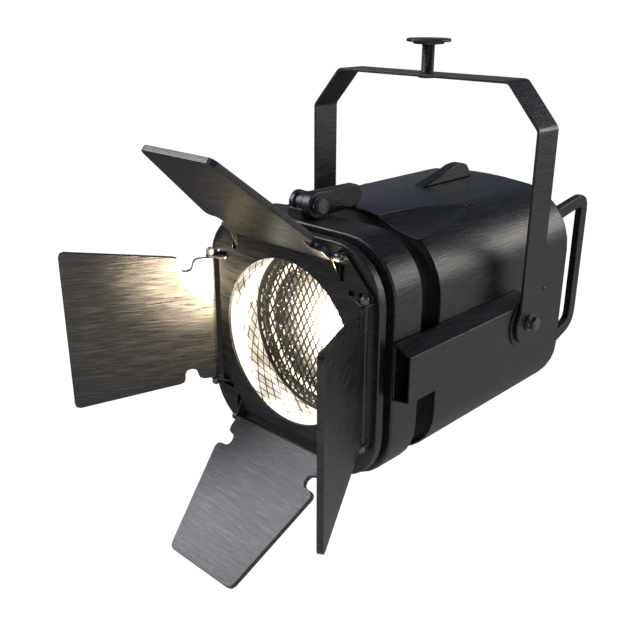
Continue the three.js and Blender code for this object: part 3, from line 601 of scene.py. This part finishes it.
def make_stud():
    low, high, centre, size = span("stud")
    flange = size.x / 2
    origin = Vector((centre.x, centre.y, high.z))
    shoulder = -(high.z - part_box("yoke")[1].z) + 0.3 * MM
    look = finish_of("stud")
    bm = bmesh.new()
    head = [(0, 0), (0, flange - 1.2 * MM), (-0.9 * MM, flange), (-2.6 * MM, flange),
            (-3.3 * MM, flange - 0.9 * MM), (-3.3 * MM, 15.6 * MM), (-5.3 * MM, 15.4 * MM),
            (-5.5 * MM, 14.6 * MM), (-5.5 * MM, 6.0 * MM), (-5.4 * MM, 0)]
    turn_into(bm, "z", origin, rounded(head, 0.5 * MM), 96)
    threaded(bm, "z", origin, shoulder, -5.3 * MM, 6.7 * MM, 1.75 * MM, 0.55 * MM, segments=40)
    turn_into(bm, "z", origin, rounded([(shoulder + 0.1 * MM, 0), (shoulder + 0.1 * MM, 5 * MM),
                                        (low.z - high.z, 5 * MM), (low.z - high.z, 0)], 0.5 * MM), 40)
    stand_for(from_bmesh("stud_threaded", bm, look), "stud")
    _, _, middle, nut = span("stud_retainer")
    ring = ring_profile(5.3 * MM, nut.x / 2, -nut.z / 2, nut.z / 2)
    stand_for(turned("stud_retainer_ring", "z", middle, ring, finish_of("stud_retainer"), 48, 0.35),
              "stud_retainer")


def make_pivots():
    for side, sign in (("right", 1), ("left", -1)):
        low, high, centre, _ = span("tilt_bolt_" + side)
        outer = high.x if sign > 0 else -low.x
        washer_low, washer_high, middle, washer = span("tilt_washer_" + side)
        seat = (washer_high.x if sign > 0 else -washer_low.x) + 0.3 * MM
        inner = -high.x if sign < 0 else low.x
        axis_point = Vector((0, centre.y, centre.z))
        bm = bmesh.new()
        shank = [(sign * inner, 0), (sign * inner, 4 * MM), (sign * (seat + 0.5 * MM), 4 * MM),
                 (sign * (seat + 0.5 * MM), 0)]
        turn_into(bm, "x", axis_point, rounded(shank, 0.5 * MM), 32)
        collar = [(sign * seat, 0), (sign * seat, 7.2 * MM), (sign * (seat + 0.7 * MM), 7.2 * MM),
                  (sign * (seat + 1.2 * MM), 6.4 * MM), (sign * (seat + 1.2 * MM), 0)]
        turn_into(bm, "x", axis_point, rounded(collar, 0.3 * MM), 48)
        hex_head(bm, "x", axis_point, 13 * MM, sign * (seat + 1.0 * MM), sign * (outer - seat - 1.0 * MM))
        stand_for(from_bmesh("tilt_bolt_hex_" + side, bm, finish_of("tilt_bolt_" + side)),
                  "tilt_bolt_" + side)
        ring = ring_profile(4.3 * MM, washer.y / 2, -washer.x / 2, washer.x / 2)
        stand_for(turned("tilt_washer_ring_" + side, "x", middle, ring, finish_of("tilt_washer_" + side),
                         64, 0.4), "tilt_washer_" + side)
        for node, name, facets, fillet in (("friction_disc_", "friction_disc_pad_", 96, 0.3),
                                           ("pivot_plate_", "pivot_plate_disc_", 128, 0.4)):
            _, _, middle, size = span(node + side)
            ring = ring_profile(4.3 * MM, size.y / 2, -size.x / 2, size.x / 2)
            stand_for(turned(name + side, "x", middle, ring, finish_of(node + side), facets, fillet),
                      node + side)


# ---------------------------------------------------------------- housing

def small_screw(bm, axis, centre, seat, radius, height, sign):
    """A pan head with a round recess, standing out from seat."""
    profile = [(seat, 0), (seat, radius), (seat + sign * height * 0.45, radius),
               (seat + sign * height * 0.85, radius * 0.72), (seat + sign * height, radius * 0.42),
               (seat + sign * height * 0.4, radius * 0.40), (seat + sign * height * 0.35, 0)]
    turn_into(bm, axis, centre, rounded(profile, radius * 0.16), 32)


def make_rear_fittings():
    for i in range(1, 5):
        node = f"cover_screw_{i}"
        low, high, centre, size = span(node)
        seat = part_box("rear_cover")[1].y + 0.3 * MM
        middle = Vector((centre.x, 0, centre.z))
        bm = bmesh.new()
        small_screw(bm, "y", middle, seat, size.x / 2, high.y - seat, 1)
        threaded(bm, "y", middle, low.y, seat + 0.4 * MM, 1.9 * MM, 0.7 * MM, 0.25 * MM, segments=16)
        stand_for(from_bmesh(f"cover_screw_pan_{i}", bm, finish_of(node)), node)

    low, high, centre, _ = span("cable_gland")
    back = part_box("rear_housing")[1].y + 0.3 * MM
    middle = Vector((centre.x, 0, centre.z))
    bm = bmesh.new()
    body = ring_profile(3.5 * MM, 6 * MM, low.y, back + 4 * MM)
    turn_into(bm, "y", middle, rounded(body, 0.3 * MM), 48)
    hex_tube(bm, middle, 19 * MM, 3.5 * MM, back, back + 6 * MM)
    cap = [(back + 6.05 * MM, 6 * MM), (back + 6.05 * MM, 8.6 * MM), (back + 10 * MM, 8.6 * MM),
           (back + 12.4 * MM, 8.0 * MM), (high.y, 6.4 * MM), (high.y, 3.5 * MM),
           (back + 6.05 * MM, 3.5 * MM), (back + 6.05 * MM, 6 * MM)]

    def ribbed(angle, out):
        grip = 0.35 * MM * math.cos(angle * 18)
        return out + (grip if out > 8.2 * MM else 0)

    turn_into(bm, "y", middle, rounded(cap, 0.4 * MM), 144, ribbed)
    stand_for(from_bmesh("cable_gland_ribbed", bm, finish_of("cable_gland")), "cable_gland")

    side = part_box("rear_housing")[1].x
    for sign, name in ((1, "right"), (-1, "left")):
        bm = bmesh.new()
        spot = Vector((0, 72 * MM, TILT.z + 12 * MM))
        small_screw(bm, "x", spot, sign * (side - 0.4 * MM), 2.6 * MM, 2.0 * MM, sign)
        add_on(from_bmesh("side_screw_" + name, bm, material(zinc_steel)), "rear_housing")


def hex_tube(bm, centre, across, bore, start, end):
    """A hexagon nut along Y with a round bore."""
    rounds = 48
    reach = hexagonal(across, end - start)
    u, v, w = AXES["y"]
    rings = []
    for along in (start, end - 0.8 * MM, end - 0.4 * MM, end):
        ring = []
        for i in range(rounds):
            angle = 2 * math.pi * i / rounds
            out = reach(angle, along - start)
            ring.append(bm.verts.new(centre + (u * math.cos(angle) + v * math.sin(angle)) * out
                                     + w * along))
        rings.append(ring)
    for along in (end, start):
        angles = [2 * math.pi * i / rounds for i in range(rounds)]
        rings.append([bm.verts.new(centre + (u * math.cos(a) + v * math.sin(a)) * bore + w * along)
                      for a in angles])
    rings.append(rings[0])
    for a, b in zip(rings, rings[1:]):
        for i in range(rounds):
            j = (i + 1) % rounds
            bm.faces.new((a[i], a[j], b[j], b[i]))


def make_carriage():
    for side in ("right", "left"):
        node = "carriage_rail_" + side
        _, _, centre, size = span(node)
        half = size.y / 2
        profile = [(-half, 0), (-half, size.x / 2 - 0.8 * MM), (-half + 0.8 * MM, size.x / 2),
                   (half - 0.8 * MM, size.x / 2), (half, size.x / 2 - 0.8 * MM), (half, 0)]
        stand_for(turned("carriage_rail_rod_" + side, "y", centre, profile, finish_of(node), 32), node)

    low, high, centre, size = span("focus_screw")
    middle = Vector((centre.x, 0, centre.z))
    bm = bmesh.new()
    threaded(bm, "y", middle, low.y, high.y, size.x / 2, 20 * MM, 0.55 * MM, starts=8, segments=40, rows=2)
    stand_for(from_bmesh("focus_screw_threaded", bm, finish_of("focus_screw")), "focus_screw")

    _, _, centre, size = span("focus_knob")
    start = -size.y / 2
    lobes = 12

    def scalloped(angle, out):
        deep = 1.0 * MM if out > 12 * MM else 0
        return out + deep * (abs(math.cos(lobes * angle / 2)) - 1)

    profile = [(start, 4.4 * MM), (start, 9 * MM), (start + 2 * MM, 9 * MM), (start + 2 * MM, 12.6 * MM),
               (start + 4 * MM, 14.1 * MM), (-start - 2.4 * MM, 14.1 * MM), (-start - 0.6 * MM, 12.8 * MM),
               (-start, 11.4 * MM), (-start - 0.8 * MM, 8.2 * MM), (-start - 0.8 * MM, 4.4 * MM),
               (start, 4.4 * MM)]
    bm = bmesh.new()
    turn_into(bm, "y", centre, rounded(profile, 0.7 * MM), 144, scalloped)
    stand_for(from_bmesh("focus_knob_scalloped", bm, finish_of("focus_knob"), 50), "focus_knob")


def make_lamp():
    _, _, centre, size = span("lampholder")
    seat = -size.z / 2
    profile = [(seat, 0), (seat, 20 * MM), (seat + 18 * MM, 20 * MM), (seat + 20 * MM, 18 * MM),
               (seat + 20 * MM, 15 * MM)]
    for k in range(3):
        foot = seat + (21.5 + 4 * k) * MM
        profile += [(foot, 15 * MM), (foot + 0.6 * MM, 14.1 * MM), (foot + 1.6 * MM, 14.1 * MM),
                    (foot + 2.2 * MM, 15 * MM)]
    profile += [(-seat - 0.8 * MM, 15 * MM), (-seat, 14 * MM), (-seat, 7.5 * MM),
                (seat + 12 * MM, 7.5 * MM), (seat + 12 * MM, 0)]
    stand_for(turned("lampholder_ribbed", "z", centre, profile, finish_of("lampholder"), 64, 0.5),
              "lampholder")

    _, _, centre, size = span("lamp")
    bottom = -size.z / 2
    tip = size.z / 2
    radius = size.x / 2
    profile = [(bottom, 0), (bottom, 7 * MM), (bottom + 24 * MM, 7 * MM), (bottom + 34 * MM, 9.3 * MM),
               (bottom + 44 * MM, radius), (tip - radius, radius)]
    for k in range(1, 9):
        angle = k / 8 * math.pi / 2
        profile.append((tip - radius * (1 - math.sin(angle)), radius * math.cos(angle)))
    profile[-1] = (tip, 0)
    stand_for(turned("lamp_envelope", "z", centre, profile, material(lit_glass), 48, 0.8), "lamp")

    wire = bpy.data.curves.new("lamp_filament", "CURVE")
    wire.dimensions = "3D"
    wire.bevel_depth = 0.35 * MM
    wire.bevel_resolution = 2
    middle = Vector((centre.x, centre.y, BEAM.z))
    for column in range(4):
        spline = wire.splines.new("POLY")
        turns, steps = 9, 12
        spline.points.add(turns * steps)
        for k in range(turns * steps + 1):
            angle = 2 * math.pi * k / steps
            x = (column - 1.5) * 3.6 * MM + 1.1 * MM * math.cos(angle)
            y = 1.1 * MM * math.sin(angle)
            z = (k / (turns * steps) - 0.5) * 15 * MM
            spline.points[k].co = (*(middle + Vector((x, y, z))), 1)
    filament = bpy.data.objects.new("lamp_filament", wire)
    scene.collection.objects.link(filament)
    wire.materials.append(material(hot_wire))
    add_on(filament, "lamp")


def make_reflector():
    """The spherical mirror behind the lamp, on its flat post."""
    low, _, _, size = span("reflector")
    rim = size.x / 2
    sphere, thick = 62 * MM, 1.5 * MM
    opening = math.asin(min(1.0, rim / (sphere + thick)))
    lamp_centre = span("lamp")[2]
    middle = Vector((lamp_centre.x, lamp_centre.y - 36 * MM, BEAM.z))
    steps = 14
    inside = [(sphere * math.cos(opening * k / steps), sphere * math.sin(opening * k / steps))
              for k in range(steps + 1)]
    outer = sphere + thick
    outside = [(outer * math.cos(opening * k / steps), outer * math.sin(opening * k / steps))
               for k in range(steps, -1, -1)]
    inside[0] = (sphere, 0)
    outside[-1] = (outer, 0)
    bm = bmesh.new()
    turn_into(bm, "y", middle, inside + outside, 96)
    post_low = Vector((-6 * MM, lamp_centre.y + 26 * MM, low.z))
    post_high = Vector((6 * MM, lamp_centre.y + 29 * MM, BEAM.z - 12 * MM))
    post = bmesh.ops.create_cube(bm, size=1.0)["verts"]
    for vert in post:
        vert.co = post_low + (vert.co + Vector((0.5, 0.5, 0.5))) * (post_high - post_low)
    edges = {edge for vert in post for edge in vert.link_edges}
    bmesh.ops.bevel(bm, geom=list(edges), offset=0.5 * MM, segments=2, affect="EDGES", profile=0.5)
    stand_for(from_bmesh("reflector_dish", bm, finish_of("reflector")), "reflector")


# ---------------------------------------------------------------- lens door

def make_lens():
    low, high, centre, size = span("lens")
    radius = size.x / 2
    back, rim, peak = high.y, high.y - 4.0 * MM, low.y
    zones = 8
    profile = [(back, 0), (back, radius - 0.6 * MM), (back - 0.6 * MM, radius), (rim, radius),
               (rim, radius - 2.4 * MM)]
    outer = radius - 2.4 * MM
    core = 21 * MM
    for k in range(zones):
        first = outer - (outer - core) * k / zones
        last = outer - (outer - core) * (k + 1) / zones
        rise = (peak - rim) * (0.92 - 0.25 * k / zones)
        for t in (0.35, 0.7, 1.0):
            profile.append((rim + rise * (1 - (1 - t) ** 1.6), first + (last - first) * t * 0.94))
        profile.append((rim + (peak - rim) * 0.04, last))
    for t in (0.25, 0.5, 0.75, 1.0):
        profile.append((rim + (peak - rim) * (1 - (1 - t) ** 2), core * (1 - t)))
    profile[-1] = (peak, 0)
    bm = bmesh.new()
    turn_into(bm, "y", Vector((centre.x, 0, centre.z)), profile, 144)
    # the lens's material paints its glow, glints and bright rim as emission
    stand_for(from_bmesh("lens_stepped", bm, material(lit_lens, round(radius, 4)), 25), "lens")


def clipped(start, end, reach):
    """The stretch of a segment that lies inside a circle about the origin, or None."""
    along = end - start
    a = along.length_squared
    b = 2 * start.dot(along)
    c = start.length_squared - reach ** 2
    inside = b * b - 4 * a * c
    if inside <= 0:
        return None
    root = math.sqrt(inside)
    first, last = max(0.0, (-b - root) / (2 * a)), min(1.0, (-b + root) / (2 * a))
    if last - first < 0.08:
        return None
    return start + along * first, start + along * last


def make_guard():
    """Expanded metal: each strand climbs from the back of one bond to the front of the next."""
    _, _, centre, size = span("mesh_guard")
    outer = size.x / 2
    inner = outer - 4.2 * MM
    wide, tall, strand, leaf = GUARD_WIDE, GUARD_TALL, 2.1 * MM, 0.6 * MM
    depth = size.y / 2 - leaf / 2
    bm = bmesh.new()
    ring = ring_profile(inner, outer, -size.y / 2, size.y / 2)
    turn_into(bm, "y", centre, rounded(ring, 0.5 * MM), 144)
    columns, rows = int(outer / wide * 2) + 2, int(outer / tall * 2) + 2
    for i in range(-columns, columns + 1):
        for j in range(-rows, rows + 1):
            if (i + j) % 2:
                continue
            start = Vector((i * wide / 2, j * tall / 2))
            for step in (1, -1):
                end = start + Vector((step * wide / 2, tall / 2))
                kept = clipped(start, end, inner + 1.2 * MM)
                if kept:
                    add_strand(bm, centre, kept, strand, leaf, depth)
    # the guard's material paints the lamp's glare onto the strands as emission
    piece = from_bmesh("mesh_guard_expanded", bm, material(guard_steel))
    stand_for(piece, "mesh_guard")


def add_strand(bm, centre, ends, strand, leaf, depth):
    start, end = ends
    along = (end - start).normalized()
    across = Vector((-along.y, along.x)) * strand / 2
    corners = []
    for point, slope in ((start, -1), (end, 1)):
        for side in (1, -1):
            for face in (1, -1):
                flat = point + across * side
                rise = slope * depth * 0.75 + face * leaf / 2 + side * depth * 0.25
                corners.append(bm.verts.new(centre + Vector((flat.x, rise, flat.y))))
    a, b, c, d, e, f, g, h = corners
    for face in ((a, b, d, c), (e, g, h, f), (a, e, f, b), (c, d, h, g), (a, c, g, e), (b, f, h, d)):
        bm.faces.new(face)


def make_tubes():
    # the lens tube and the barn ring take the tunnel's painted glow and painted reflection
    painted_lit_wall = material(lit_tunnel)
    for node, name, inner, look in (("lens_tube", "lens_tube_polished", 86.0, painted_lit_wall),
                                    ("barn_ring", "barn_ring_polished", 85.5, painted_lit_wall),
                                    ("lens_ring", "lens_ring_turned", 80.0, finish_of("lens_ring")),
                                    ("door_neck", "door_neck_turned", 94.0, finish_of("door_neck"))):
        _, _, centre, size = span(node)
        ring = ring_profile(inner * MM, size.x / 2, -size.y / 2, size.y / 2)
        stand_for(turned(name, "y", centre, ring, look, 160, 0.4), node)


def make_hinge():
    low, high, centre, _ = span("hinge_bolt")
    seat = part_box("hinge_arm")[1].x + 0.3 * MM
    axis_point = Vector((0, centre.y, centre.z))
    bm = bmesh.new()
    threaded(bm, "x", axis_point, low.x, seat + 0.5 * MM, 4 * MM, 1.25 * MM, 0.3 * MM, segments=24)
    collar = [(seat, 0), (seat, 8 * MM), (seat + 0.9 * MM, 8 * MM), (seat + 1.6 * MM, 7.2 * MM),
              (seat + 1.6 * MM, 0)]
    turn_into(bm, "x", axis_point, rounded(collar, 0.3 * MM), 48)
    hex_head(bm, "x", axis_point, 13 * MM, seat + 1.4 * MM, high.x - seat - 1.4 * MM)
    stand_for(from_bmesh("hinge_bolt_hex", bm, finish_of("hinge_bolt")), "hinge_bolt")

    low, high, centre, _ = span("door_clamp")
    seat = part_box("side_channel_left")[0].x - 0.3 * MM
    bm = bmesh.new()
    axis_point = Vector((0, centre.y, centre.z))
    threaded(bm, "x", axis_point, seat - 2 * MM, high.x, 3 * MM, 1.0 * MM, 0.3 * MM, segments=24)

    def knurled(angle, out):
        return out - (0.8 * MM * abs(math.sin(14 * angle)) if out > 10 * MM else 0)

    grip = [(low.x, 0), (low.x, 6.5 * MM), (low.x + 0.6 * MM, 9.6 * MM), (low.x + 1.6 * MM, 11 * MM),
            (seat - 4.6 * MM, 11 * MM), (seat - 3.4 * MM, 9.8 * MM), (seat - 3.2 * MM, 7 * MM),
            (seat, 6.6 * MM), (seat, 0)]
    turn_into(bm, "x", axis_point, rounded(grip, 0.4 * MM), 168, knurled)
    stand_for(from_bmesh("door_clamp_knurled", bm, finish_of("door_clamp"), 50), "door_clamp")


# ---------------------------------------------------------------- barn door

def make_leaf_screws():
    for side in SIDES:
        pivot = Vector(JOINTS[f"leaf_{side}_hinge"]["pos_m"])
        axis = "x" if side in ("top", "bottom") else "z"
        for hand in ("a", "b"):
            node = f"leaf_screw_{side}_{hand}"
            low, high, centre, _ = span(node)
            along = "xyz".index(axis)
            middle = pivot.copy()
            middle[along] = 0
            base = pivot[along]
            sign = 1 if centre[along] > base else -1
            far = (high if sign > 0 else low)[along]
            near = (low if sign > 0 else high)[along]
            seat = far - sign * 7.0 * MM
            bm = bmesh.new()
            head = [(seat, 0), (seat, 3.9 * MM), (seat + sign * 4.2 * MM, 3.9 * MM),
                    (seat + sign * 5.6 * MM, 3.4 * MM), (seat + sign * 6.6 * MM, 2.2 * MM),
                    (far, 1.3 * MM), (far - sign * 1.2 * MM, 1.2 * MM), (far - sign * 1.2 * MM, 0)]
            turn_into(bm, axis, middle, rounded(head, 0.35 * MM), 40)
            shank = [(near, 0), (near, 1.5 * MM), (seat + sign * 0.3 * MM, 1.5 * MM),
                     (seat + sign * 0.3 * MM, 0)]
            turn_into(bm, axis, middle, rounded(shank, 0.3 * MM), 20)
            stand_for(from_bmesh(f"leaf_screw_dome_{side}_{hand}", bm, finish_of(node)), node)


def leaf_normal(side):
    """The direction square to a leaf's flat faces, from its largest face."""
    mesh = NODES["leaf_" + side].data
    return max(mesh.polygons, key=lambda face: face.area).normal.normalized()


def make_softened():
    """Folded and cast pieces keep the CAD's shape, with rounded edges."""
    edges = {"yoke": (0.45, "y"), "rear_cover": (0.35, "x"), "top_fin": (1.1, "y"),
             "side_channel_right": (0.7, "y"), "side_channel_left": (0.7, "y"), "hinge_arm": (1.2, "y"),
             "rear_handle": (0.9, "y"), "rail_bracket": (0.4, "y"), "carriage": (0.4, "y"),
             "drive_nut": (0.5, "y"), "door_knuckle": (0.4, "y"), "barn_plate": (0.3, "x"),
             "front_sleeve": (0.3, "y")}
    for node, (edge, grain) in edges.items():
        softened(node, edge, grain)
    softened("rear_housing", 0.5, "y", sharp=20, crease=17)
    softened("lens_door", 0.35, "y", sharp=32)
    softened("accessory_frame", 0.35, "x", sharp=30)
    grains = {"top": "x", "bottom": "x", "left": "level", "right": "level"}
    for side in SIDES:
        softened("leaf_" + side, 0.55, grains[side], corner_along=leaf_normal(side))


# ---------------------------------------------------------------- stage and light

def make_floor():
    """A plain white floor, well under the hanging lamp, white to the camera. What it gives back to other
    rays is painted shade: an emission that fades towards the left rear.
    """
    s = Shader("floor_white")
    where = s.add("TexCoord").outputs["Object"]
    across = s.add("VectorMath", {0: where, 1: (0.9, -0.45, 0)}, operation="DOT_PRODUCT").outputs["Value"]
    # painted shade: emission that darkens the floor towards the left rear, as lit surfaces see it
    painted_falloff = s.ramp(s.spread(across, 0.0, 1.0, -1.0, 1.5),
                  [(0.0, (0.02, 0.02, 0.022)), (0.25, (0.05, 0.05, 0.052)), (0.55, (0.52, 0.52, 0.52)),
                   (1.0, (0.76, 0.75, 0.72))])
    seen = s.add("LightPath").outputs["Is Camera Ray"]
    clouds = s.noise((1.5, 1.5, 1.5))
    white = s.ramp(clouds, [(0.3, (1.0, 1.0, 1.0)), (0.7, (1.0, 1.0, 0.995))])
    look = s.surface({"Base Color": (0.12, 0.12, 0.12, 1), "Roughness": 0.9, "Specular IOR Level": 0.0,
                      "Emission Color": s.mix(seen, painted_falloff, white), "Emission Strength": 1.0})
    bm = bmesh.new()
    bmesh.ops.create_grid(bm, x_segments=8, y_segments=8, size=14)
    bmesh.ops.translate(bm, verts=bm.verts, vec=Vector((0, 0, cad_low.z - 0.28)))
    floor = new_piece("floor", bm, look)


def make_world():
    """White to the camera; a dim, cool sky with a pale horizon for what is lit."""
    world = bpy.data.worlds.new("studio")
    scene.world = world
    world.use_nodes = True
    tree = world.node_tree
    tree.nodes.clear()
    output = tree.nodes.new("ShaderNodeOutputWorld")
    where = tree.nodes.new("ShaderNodeTexCoord")
    split = tree.nodes.new("ShaderNodeSeparateXYZ")
    ramp = tree.nodes.new("ShaderNodeValToRGB")
    height = tree.nodes.new("ShaderNodeMapRange")
    height.inputs["From Min"].default_value = -1
    tree.links.new(where.outputs["Generated"], split.inputs[0])
    tree.links.new(split.outputs["Z"], height.inputs["Value"])
    tree.links.new(height.outputs["Result"], ramp.inputs["Fac"])
    stops = [(0.0, (0.3, 0.3, 0.29)), (0.49, (0.3, 0.3, 0.29)), (0.55, (0.22, 0.24, 0.28)),
             (0.68, (0.10, 0.115, 0.16)), (1.0, (0.15, 0.17, 0.23))]
    elements = ramp.color_ramp.elements
    while len(elements) < len(stops):
        elements.new(0.5)
    for element, (place, colour) in zip(elements, stops):
        element.position = place
        element.color = (*colour, 1)
    lit = tree.nodes.new("ShaderNodeBackground")
    tree.links.new(ramp.outputs["Color"], lit.inputs["Color"])
    seen = tree.nodes.new("ShaderNodeBackground")
    seen.inputs["Color"].default_value = (1, 1, 1, 1)
    seen.inputs["Strength"].default_value = 1.1
    path = tree.nodes.new("ShaderNodeLightPath")
    mix = tree.nodes.new("ShaderNodeMixShader")
    tree.links.new(path.outputs["Is Camera Ray"], mix.inputs["Fac"])
    tree.links.new(lit.outputs[0], mix.inputs[1])
    tree.links.new(seen.outputs[0], mix.inputs[2])
    tree.links.new(mix.outputs[0], output.inputs["Surface"])


def softbox(name, direction, distance, size, radiance, colour):
    """A panel that faces the lamp from one direction, with the brightness it shows in a reflection."""
    data = bpy.data.lights.new(name, "AREA")
    data.shape = "RECTANGLE"
    data.size, data.size_y = size
    data.energy = radiance * math.pi * size[0] * size[1]
    data.color = colour
    lamp = bpy.data.objects.new(name, data)
    towards = Vector(direction).normalized()
    lamp.location = TILT + towards * distance
    lamp.rotation_mode = "QUATERNION"
    lamp.rotation_quaternion = towards.to_track_quat("Z", "Y")
    lamp.visible_camera = False
    scene.collection.objects.link(lamp)


def beam_spot(name, place, target, power, angle, size, body="lens_door"):
    """A small warm light that moves with the lamp and lights the inside of the leaves."""
    data = bpy.data.lights.new(name, "SPOT")
    data.energy = power
    data.color = (1.0, 0.80, 0.52)
    data.spot_size = math.radians(angle)
    data.spot_blend = 1.0
    data.shadow_soft_size = size
    lamp = bpy.data.objects.new(name, data)
    lamp.location = place
    lamp.rotation_mode = "QUATERNION"
    lamp.rotation_quaternion = (place - target).to_track_quat("Z", "Y")
    lamp.parent = frame["bodies"][body]
    lamp.visible_camera = False
    scene.collection.objects.link(lamp)


def make_lights():
    softbox("key", (-0.62, -0.58, 0.53), 2.2, (1.3, 1.3), 8.0, (0.93, 0.95, 1.0))
    softbox("rim", (0.68, 0.66, 0.32), 2.0, (1.9, 0.62), 5.2, (1.0, 0.96, 0.89))
    softbox("low", (0.64, -0.67, 0.02), 2.4, (1.6, 0.9), 1.2, (1.0, 0.99, 0.97))
    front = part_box("barn_plate")[0].y
    hub = Vector((BEAM.x, front - 2 * MM, BEAM.z))
    leaf_left, leaf_top = (Vector(JOINTS[f"leaf_{side}_hinge"]["pos_m"]) for side in ("left", "top"))
    beam_spot("spill_left", hub + Vector((56, -9, 22)) * MM, leaf_left + Vector((-8, -18, 46)) * MM,
              48.0, 44, 6 * MM)
    beam_spot("spill_wide", hub + Vector((84, -12, 28)) * MM, leaf_left + Vector((-12, -34, 30)) * MM,
              9.0, 66, 6 * MM)
    beam_spot("spill_top", hub + Vector((62, -10, 70)) * MM, leaf_top + Vector((66, -9, 2)) * MM,
              1.5, 62, 3 * MM)


# ---------------------------------------------------------------- the scene

make_camera()
make_softened()
make_stud()
make_pivots()
make_rear_fittings()
make_carriage()
make_lamp()
make_reflector()
make_lens()
make_guard()
make_tubes()
make_hinge()
make_leaf_screws()
make_floor()
make_world()
make_lights()
scene.view_settings.view_transform = "Standard"
scene.view_settings.look = "None"
